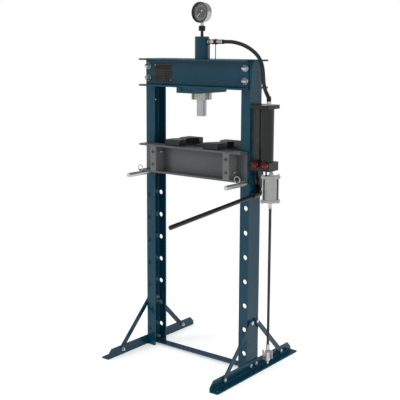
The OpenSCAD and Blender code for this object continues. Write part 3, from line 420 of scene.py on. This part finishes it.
def make_cords():
    points = in_metres(HOSE_ROUTE)
    hose = route_curve("hydraulic_hose_cover", points, HOSE_D, "hose_rubber", "frame")
    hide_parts("hydraulic_hose")

    points = in_metres(LEASH_ROUTE)
    leash = route_curve("coupler_leash_cord", points, LEASH_D, "leash_plastic", "frame")
    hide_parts("coupler_leash")

    steps = 20
    fall = AIR_HOSE_BOTTOM - AIR_HOSE_TOP
    points = [(AIR_HOSE_X, 0, AIR_HOSE_TOP + fall * i / steps) for i in range(steps + 1)]
    hose = route_curve("air_hose_cover", points, AIR_HOSE_D, "hose_rubber", "frame")
    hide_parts("air_hose")


make_cords()


# ---------------------------------------------------------------- detail pieces, sizes in mm

BOTH = (-1, 1)

# places from the CAD: hose port, bed pins, leash's bands (x, ring's and wire's radius), pump's tank, air
# motor and valve spindles, the bed's folded strips and its pegs (x, z)
PORT_Z = 1582
PIN_X = 299
LEASH_LEGS = ((46, 13, 1.4), (82, 12.6, 1.3))
TANK_X = 380.5
TANK_ENDS = (1277, 1031)
MOTOR_X = 407
MOTOR_ENDS = (854, 954)
SPINDLES_X = (354, 409.5)
SPINDLE_Z = 1020
STRIPS_X = (-217.5, 230.5)
PEGS = ((-191.5, 1039.8), (256.5, 977.8))


def turned(bm, profile, origin, axis, sides=32, closed=False):
    """Surface of revolution from (radius, height) pairs around an axis through origin."""
    turn = Vector(axis).to_track_quat("Z", "Y")
    rows = []
    for radius, height in profile:
        # a point on the axis closes the end
        count = sides if radius else 1
        row = []
        for i in range(count):
            a = 2 * math.pi * i / count
            local = Vector((radius * math.cos(a), radius * math.sin(a), height))
            row.append(bm.verts.new((Vector(origin) + turn @ local) * MM))
        rows.append(row)
    for low, high in zip(rows, rows[1:] + (rows[:1] if closed else [])):
        for i in range(sides):
            j = (i + 1) % sides
            corners = [low[i % len(low)], low[j % len(low)], high[j % len(high)], high[i % len(high)]]
            bm.faces.new(dict.fromkeys(corners))


def ring(bm, origin, axis, radius, wire, sides=40):
    """Round wire bent into a ring, the wire given by its radius."""
    around = [2 * math.pi * k / 8 for k in range(8)]
    profile = [(radius + wire * math.cos(a), wire * math.sin(a)) for a in around]
    turned(bm, profile, origin, axis, sides, closed=True)


def block(bm, low, high, chamfer=0.0):
    """Box between two corners, its edges chamfered."""
    made = bmesh.ops.create_cube(bm, size=1)["verts"]
    for v in made:
        v.co = Vector([(low[k] if v.co[k] < 0 else high[k]) * MM for k in range(3)])
    if chamfer:
        edges = {e for v in made for e in v.link_edges}
        bmesh.ops.bevel(bm, geom=list(edges), offset=chamfer * MM, segments=2, affect="EDGES")


def skin(bm, rows):
    """Closed tube over rows of points."""
    sides = len(rows[0])
    for near, far in zip(rows, rows[1:]):
        for k in range(sides):
            bm.faces.new((near[k], near[(k + 1) % sides], far[(k + 1) % sides], far[k]))
    bm.faces.new(rows[0][::-1])
    bm.faces.new(rows[-1])


def weld(bm, start, end, size, dice):
    """Bead of overlapping puddles between two points."""
    step, puddle, sides = 1.1, 2.7, 7
    start, end = Vector(start), Vector(end)
    run = end - start
    steps = max(4, round(run.length / step))
    turn = run.to_track_quat("Z", "Y")
    rows = []
    for i in range(steps + 1):
        swell = size * (0.82 + 0.22 * abs(math.sin(math.pi * i / puddle)) + dice.uniform(-0.05, 0.05))
        if i in (0, steps):
            swell *= 0.35
        drift = Vector((dice.uniform(-0.12, 0.12), dice.uniform(-0.12, 0.12), 0))
        rows.append([])
        for k in range(sides):
            a = 2 * math.pi * k / sides
            local = Vector((swell * math.cos(a), swell * math.sin(a), run.length * i / steps)) + drift
            rows[-1].append(bm.verts.new((start + turn @ local) * MM))
    skin(bm, rows)


def thread(bm, start, direction, radius, length, pitch):
    """Crests of a screw thread on a plain shank, as rings."""
    turns = int(length / pitch)
    profile = [(radius, 0)]
    for i in range(turns):
        profile += [(radius + pitch * 0.22, (i + 0.5) * pitch), (radius, (i + 1) * pitch)]
    turned(bm, profile, start, direction, 20)


# gauge: centre height, the printed marks' plane and the inner face's plane behind it (the dial's own
# is at -10), and the scale from the lower left to the lower right in degrees
GAUGE_Z = 1721
DIAL_Y = -10.05
FACE_Y = DIAL_Y + 0.02
SCALE_START, SCALE_SWEEP = 225, 270
SCALE_END = SCALE_START - SCALE_SWEEP


def on_dial(radius, degrees, y=DIAL_Y):
    """Point over the dial, degrees counted from three o'clock upward."""
    a = math.radians(degrees)
    return Vector((radius * math.cos(a), y, GAUGE_Z + radius * math.sin(a))) * MM


def dial_mark(bm, degrees, inner, outer, width):
    turn = math.radians(degrees)
    half = Vector((math.sin(turn), 0, -math.cos(turn))) * width / 2 * MM
    a, b = on_dial(inner, degrees), on_dial(outer, degrees)
    bm.faces.new([bm.verts.new(p) for p in (a - half, b - half, b + half, a + half)])


def dial_arc(bm, start, end, inner, outer, y=DIAL_Y):
    count = max(2, round(abs(end - start) / 3))
    angles = [start + (end - start) * i / count for i in range(count + 1)]
    rim = [(bm.verts.new(on_dial(inner, a, y)), bm.verts.new(on_dial(outer, a, y))) for a in angles]
    for (a, b), (c, d) in zip(rim, rim[1:]):
        bm.faces.new((a, b, d, c))


def make_dial():
    """Printed marks, band, a black ring painted at the dial's rim as the bezel lip's shadow, inner face
    and generic figures. The marks shorten from fives to halves.
    """
    edge, inner_edge = 40, 25.4
    bm = bmesh.new()
    for i in range(51):
        degrees = SCALE_START - SCALE_SWEEP * i / 50
        if i % 10 == 0:
            dial_mark(bm, degrees, 32, edge, 1.3)
        elif i % 2 == 0:
            dial_mark(bm, degrees, 35.5, edge, 0.7)
        else:
            dial_mark(bm, degrees, 37.5, edge, 0.5)
    for i in range(31):
        start = 22.2 if i % 5 == 0 else 23.6
        dial_mark(bm, SCALE_START - SCALE_SWEEP * i / 30, start, inner_edge, 0.6)
    dial_arc(bm, SCALE_START, SCALE_END, edge, 40.7)
    dial_arc(bm, SCALE_START, SCALE_END, inner_edge, 26)
    # black ring round the dial's rim under the bezel: painted shadow of the bezel's lip
    dial_arc(bm, 0, 360, 42, 44)
    bm_piece("gauge_scale", bm, "tick_black", "frame", smooth=False)

    bm = bmesh.new()
    dial_arc(bm, 60, -16, 17.6, 21.4)
    bm_piece("gauge_red_band", bm, "tick_red", "frame", smooth=False)

    bm = bmesh.new()
    dial_arc(bm, 0, 360, 4, 26, FACE_Y)
    bm_piece("gauge_inner_face", bm, "dial_inner", "frame", smooth=False)

    for i in range(6):
        figure = 5 * i
        curve = bpy.data.curves.new(f"gauge_figure_{i}", "FONT")
        curve.body = str(figure)
        curve.size = 6.4 * MM
        curve.align_x = curve.align_y = "CENTER"
        text = bpy.data.objects.new("figure", curve)
        bpy.context.scene.collection.objects.link(text)
        mesh = text.to_mesh().copy()
        bpy.data.objects.remove(text)
        bpy.data.curves.remove(curve)
        mesh.transform(Matrix.Rotation(math.pi / 2, 4, "X"))
        mesh.transform(Matrix.Translation(on_dial(28.6, SCALE_START - SCALE_SWEEP * i / 5)))
        finish_piece(f"gauge_figure_{figure}", mesh, "tick_black", "frame", smooth=False)


def make_gauge_trim():
    """Dark front of the bezel with its inner lip, vent plug in the case's top, needle's hub cap."""
    rim = [(42.6, 15), (42.6, 20), (44.6, 22.5), (48.2, 22.5), (48.9, 21.6), (48.2, 21.4), (44.8, 21.4),
           (43.3, 19.6)]
    bm = bmesh.new()
    turned(bm, rim, (0, 0, GAUGE_Z), (0, -1, 0), 72)
    bm_piece("gauge_rim", bm, "rim_dark", "frame")

    bm = bmesh.new()
    turned(bm, [(5, 45.5), (5, 48.2), (4.2, 49.2), (0, 49.2)], (0, 3, GAUGE_Z), (0, 0, 1), 24)
    bm_piece("gauge_vent_plug", bm, "rubber_black", "frame")

    cap = [(4.6, 13.4), (4.6, 14), (4, 14.4), (1.6, 14.4), (1.2, 14), (0, 14)]
    bm = bmesh.new()
    turned(bm, cap, (0, 0, GAUGE_Z), (0, -1, 0), 28)
    bm_piece("gauge_needle_cap", bm, "tick_black", "gauge_needle")


def make_nameplate():
    """Blank rating plate with its ruled fields, held by two drive rivets."""
    x0, x1, z0, z1, back, face = -258, -144, 1386, 1475, -52.9, -54.2
    bm = bmesh.new()
    block(bm, (x0, face, z0), (x1, back, z1), 0.35)
    bm_piece("nameplate", bm, "plate_brown", "frame", smooth=False)

    # border, five rows and the line between the two columns
    lines = [
        ((x0 + 4, z1 - 4.8), (x1 - 4, z1 - 4)),
        ((x0 + 4, z0 + 4), (x1 - 4, z0 + 4.8)),
        ((x0 + 4, z0 + 4), (x0 + 4.8, z1 - 4)),
        ((x1 - 4.8, z0 + 4), (x1 - 4, z1 - 4)),
    ]
    lines += [((x0 + 8, z0 + 11 + 11 * i), (x1 - 8, z0 + 11.7 + 11 * i)) for i in range(5)]
    lines.append(((-196, z0 + 11), (-195.3, z0 + 55)))
    bm = bmesh.new()
    for (a, b), (c, d) in lines:
        block(bm, (a, face - 0.12, b), (c, face + 0.1, d))
    bm_piece("nameplate_lines", bm, "plate_lines", "frame", smooth=False)

    head = [(3.6, -0.2), (3.6, 0.5), (2.8, 1.3), (1.2, 1.7), (0, 1.75)]
    bm = bmesh.new()
    for x, z in ((x0 + 7.5, z1 - 7.5), (x1 - 7.5, z0 + 7.5)):
        turned(bm, head, (x, face, z), (0, -1, 0), 24)
    bm_piece("nameplate_rivets", bm, "zinc", "frame")


def make_frame_welds(dice):
    """Cross tie on its end plates, the carrier's block between its rails, the pump's back plate."""
    bm = bmesh.new()
    for side in BOTH:
        weld(bm, (side * 306.2, -21, 14.6), (side * 306.2, 21, 14.6), 1.9, dice)
        for face in BOTH:
            weld(bm, (side * 36, face * 111.2, 1348), (side * 36, face * 111.2, 1363), 1.4, dice)
    for face in BOTH:
        for z in (1046, 1134, 1222):
            weld(bm, (319.6, face * 36.6, z), (319.6, face * 36.6, z + 40), 1.9, dice)
    bm_piece("frame_welds", bm, "frame_paint", "frame")


def make_bed_welds(dice):
    """Both edges of the folded strips, and a bead round each peg."""
    bm = bmesh.new()
    for face in BOTH:
        for x in STRIPS_X:
            for side in BOTH:
                edge = x + side * 18.6
                weld(bm, (edge, face * 54.2, 954), (edge, face * 54.2, 1058), 1.7, dice)
        for x, z in PEGS:
            ring(bm, (x, face * 53.9, z), (0, 1, 0), 5, 1.5, 24)
    bm_piece("bed_welds", bm, "bed_paint", "bed")


def make_peg_ends():
    """Bare steel ends of the bed's painted pegs."""
    end = [(4.5, 6), (4.75, 6.4), (4.75, 32), (4, 33), (0, 33)]
    bm = bmesh.new()
    for face in BOTH:
        for x, z in PEGS:
            turned(bm, end, (x, face * 53.5, z), (0, face, 0), 24)
    bm_piece("bed_peg_ends", bm, "zinc", "bed")


def make_pin_welds(dice):
    """Beads that hold each pin's pull ring."""
    reach, height = 4.5, 935.4
    for side, body in ((-1, "bed_pin_left"), (1, "bed_pin_right")):
        middle = side * PIN_X
        bm = bmesh.new()
        for y in (-119.3, -114.7):
            weld(bm, (middle - reach, y, height), (middle + reach, y, height), 1.6, dice)
        bm_piece(f"{body}_welds", bm, "zinc", body)


def make_threads():
    """Tails of the base's bolts past their nuts, and the end of the gauge's adapter."""
    bm = bmesh.new()
    for side in BOTH:
        for face in BOTH:
            for x, y, z in ((299, 22.5, 28), (305, 22.5, 244), (310.5, 242, 28)):
                thread(bm, (side * x, face * y, z), (-side, 0, 0), 5, 7.6, 1.5)
    bm_piece("base_bolt_threads", bm, "zinc", "frame")
    bm = bmesh.new()
    thread(bm, (0, 0, 1607.6), (0, 0, 1), 7, 9, 1.8)
    bm_piece("adapter_thread", bm, "black_steel", "frame")


def make_hose_trim():
    """Grip of the quick coupler's ring, the leash's bands, hose sleeves and the air hose's crimp."""
    ribs, grip_radius = 20, 12.1
    hose_start, hose_foot = (126.6, 0, PORT_Z), (390, 0, 1310.6)
    bm = bmesh.new()
    for i in range(ribs):
        a = 2 * math.pi * (i + 0.5) / ribs
        y, z = grip_radius * math.sin(a), PORT_Z + grip_radius * math.cos(a)
        turned(bm, [(0, 80.4), (0.7, 80.8), (0.7, 92.2), (0, 92.6)], (0, y, z), (1, 0, 0), 6)
    bm_piece("coupler_grip_ribs", bm, "coupler_plastic", "frame")
    bm = bmesh.new()
    for x, radius, wire in LEASH_LEGS:
        ring(bm, (x, 0, PORT_Z), (1, 0, 0), radius, wire, 36)
    bm_piece("leash_bands", bm, "leash_plastic", "frame")
    bm = bmesh.new()
    turned(bm, [(9, 0), (10.6, 0.4), (10.6, 5), (9.1, 8)], hose_start, (1, 0, 0), 32)
    turned(bm, [(10, 0), (11, 0.3), (10.8, 10), (9.1, 24)], hose_foot, (0, 0, 1), 32)
    bm_piece("hose_end_sleeves", bm, "rubber_black", "frame")
    bm = bmesh.new()
    for z in (815.2, 818.2):
        ring(bm, (MOTOR_X, 0, z), (0, 0, 1), 8, 0.6, 28)
    bm_piece("air_hose_crimp", bm, "zinc", "frame")


def make_pump_trim():
    """Thin dark seals between the castings, dark grey webs painted as the shade in the grooves beside
    the motor's tie rods, and the valves' gland rings.
    """
    bm = bmesh.new()
    for z in TANK_ENDS:
        ring(bm, (TANK_X, 0, z), (0, 0, 1), 34, 1.1, 64)
    for z in MOTOR_ENDS:
        ring(bm, (MOTOR_X, 0, z), (0, 0, 1), 28.9, 0.6, 56)
    bm_piece("pump_seals", bm, "rubber_black", "frame")

    # painted shade: dark grey webs between the motor's barrel and its tie rods, standing for the shade
    # in the grooves there; the tie rods stand across the part's corner
    out, half_x, half_y = 31.4, 4, 2.4
    low, high = (end + gap for end, gap in zip(MOTOR_ENDS, (0.5, -0.5)))
    across = Matrix.Rotation(math.pi / 4, 3, "Z")
    bm = bmesh.new()
    for side in BOTH:
        made = len(bm.verts)
        middle = MOTOR_X + side * out
        block(bm, (middle - half_x, -half_y, low), (middle + half_x, half_y, high), 0.8)
        bm.verts.ensure_lookup_table()
        bmesh.ops.rotate(bm, verts=bm.verts[made:], cent=(MOTOR_X * MM, 0, 0.9), matrix=across)
    bm_piece("motor_webs", bm, "shadow_grey", "frame", smooth=False)

    gland = [(4.1, 0), (8.5, 0), (8.5, 1.1), (7.6, 1.4), (4.1, 1.4)]
    bm = bmesh.new()
    for x in SPINDLES_X:
        turned(bm, gland, (x, -43, SPINDLE_Z), (0, -1, 0), 28)
    bm_piece("valve_gland_rings", bm, "zinc", "frame")


def make_return_spring():
    """Wound wire round the ram, which the piston presses together as the ram comes out."""
    low, high, turns, middle, wire = 1350.3, 1546.7, 12, 26, 1.5
    steps, sides = turns * 26, 8
    rise = high - low - 2 * wire
    bm = bmesh.new()
    rows = []
    for i in range(steps + 1):
        a = 2 * math.pi * turns * i / steps
        z = low + wire + rise * i / steps
        rows.append([])
        for k in range(sides):
            w = 2 * math.pi * k / sides
            out = middle + wire * math.cos(w)
            point = Vector((out * math.cos(a), out * math.sin(a), z + wire * math.sin(w)))
            rows[-1].append(bm.verts.new(point * MM))
    skin(bm, rows)
    spring = bm_piece("return_spring_coil", bm, "spring_steel", "frame")
    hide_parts("return_spring")
    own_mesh(spring)


make_dial()
make_gauge_trim()
make_return_spring()
make_nameplate()
dice = random.Random(5)
make_frame_welds(dice)
make_bed_welds(dice)
make_peg_ends()
make_pin_welds(dice)
make_threads()
make_hose_trim()
make_pump_trim()


# ---------------------------------------------------------------- floor, light and world

WHITE = (1, 1, 1, 1)


def make_node(tree, kind, values=None, **settings):
    """New node with its settings, then the values of its sockets."""
    made = tree.nodes.new(kind)
    for key, value in settings.items():
        setattr(made, key, value)
    for key, value in (values or {}).items():
        made.inputs[key].default_value = value
    return made


def background_rays(tree):
    """1 for rays that see the background directly, in gloss or through glass."""
    path = make_node(tree, "ShaderNodeLightPath")
    total = path.outputs["Is Camera Ray"]
    for other in ("Is Glossy Ray", "Is Transmission Ray"):
        either = make_node(tree, "ShaderNodeMath", operation="MAXIMUM")
        tree.links.new(total, either.inputs[0])
        tree.links.new(path.outputs[other], either.inputs[1])
        total = either.outputs[0]
    return total


def make_world():
    """White background. In gloss it is white round the horizon and dims overhead, as a studio does."""
    overhead = (0.25, 0.25, 0.25, 1)
    world = bpy.data.worlds.new("world")
    world.use_nodes = True
    tree = world.node_tree
    tree.nodes.clear()
    join = tree.links.new
    light = make_node(tree, "ShaderNodeBackground", {"Strength": 0.36, "Color": WHITE})
    seen = make_node(tree, "ShaderNodeBackground", {"Strength": 1.0})
    place = make_node(tree, "ShaderNodeTexCoord")
    split = make_node(tree, "ShaderNodeSeparateXYZ")
    height = make_node(tree, "ShaderNodeMapRange", {"From Min": 0.03, "From Max": 0.2})
    path = make_node(tree, "ShaderNodeLightPath")
    dim = make_node(tree, "ShaderNodeMath", operation="MULTIPLY")
    colour = make_node(tree, "ShaderNodeMix", {6: WHITE, 7: overhead}, data_type="RGBA")
    mix = make_node(tree, "ShaderNodeMixShader")
    out = make_node(tree, "ShaderNodeOutputWorld")
    join(place.outputs["Generated"], split.inputs[0])
    join(split.outputs["Z"], height.inputs["Value"])
    join(height.outputs[0], dim.inputs[0])
    join(path.outputs["Is Glossy Ray"], dim.inputs[1])
    join(dim.outputs[0], colour.inputs[0])
    join(colour.outputs[2], seen.inputs["Color"])
    join(background_rays(tree), mix.inputs[0])
    join(light.outputs[0], mix.inputs[1])
    join(seen.outputs[0], mix.inputs[2])
    join(mix.outputs[0], out.inputs[0])
    bpy.context.scene.world = world


def make_floor():
    """White floor that keeps the soft shadow under the frame and fades to plain white around it."""
    half_width = 40
    fade_start, fade_end = 0.7, 1.5
    bm = bmesh.new()
    bmesh.ops.create_grid(bm, x_segments=2, y_segments=2, size=half_width)
    mesh = bpy.data.meshes.new("floor")
    bm.to_mesh(mesh)
    bm.free()
    material = bpy.data.materials.new("floor")
    material.use_nodes = True
    tree = material.node_tree
    tree.nodes.clear()
    join = tree.links.new
    diffuse = make_node(tree, "ShaderNodeBsdfDiffuse", {"Color": (0.9, 0.9, 0.9, 1)})
    lift = make_node(tree, "ShaderNodeEmission", {"Strength": 0.4})
    lifted = make_node(tree, "ShaderNodeAddShader")
    white = make_node(tree, "ShaderNodeEmission", {"Strength": 1})
    place = make_node(tree, "ShaderNodeTexCoord")
    distance = make_node(tree, "ShaderNodeVectorMath", operation="LENGTH")
    fade = make_node(tree, "ShaderNodeMapRange", {"From Min": fade_start, "From Max": fade_end},
                     interpolation_type="SMOOTHSTEP")
    near_far = make_node(tree, "ShaderNodeMixShader")
    seen = make_node(tree, "ShaderNodeMixShader")
    out = make_node(tree, "ShaderNodeOutputMaterial")
    join(diffuse.outputs[0], lifted.inputs[0])
    join(lift.outputs[0], lifted.inputs[1])
    join(place.outputs["Object"], distance.inputs[0])
    join(distance.outputs["Value"], fade.inputs["Value"])
    join(fade.outputs[0], near_far.inputs[0])
    join(lifted.outputs[0], near_far.inputs[1])
    join(white.outputs[0], near_far.inputs[2])
    join(background_rays(tree), seen.inputs[0])
    join(diffuse.outputs[0], seen.inputs[1])
    join(near_far.outputs[0], seen.inputs[2])
    join(seen.outputs[0], out.inputs[0])
    mesh.materials.append(material)
    floor = bpy.data.objects.new("floor", mesh)
    bpy.context.scene.collection.objects.link(floor)


def soft_light(name, place, target, size, power):
    """Round area light in watts, left out of gloss."""
    data = bpy.data.lights.new(name, "AREA")
    data.shape = "DISK"
    data.size = size
    data.energy = power
    obj = bpy.data.objects.new(name, data)
    obj.location = place
    obj.rotation_euler = (Vector(target) - Vector(place)).to_track_quat("-Z", "Y").to_euler()
    obj.visible_glossy = False
    bpy.context.scene.collection.objects.link(obj)


make_world()
make_floor()
soft_light("key", (-2.6, -3.4, 2.6), (0, 0, 0.8), 2.0, 72)
soft_light("fill", (4.2, -1.6, 1.8), (0, 0, 0.8), 2.2, 40)
soft_light("top", (0.3, 0.2, 4.6), (0, 0, 0.5), 2.4, 62)
soft_light("back", (-1.4, 4.2, 2.4), (0, 0, 0.8), 2.4, 34)
bpy.context.scene.view_settings.view_transform = "Standard"
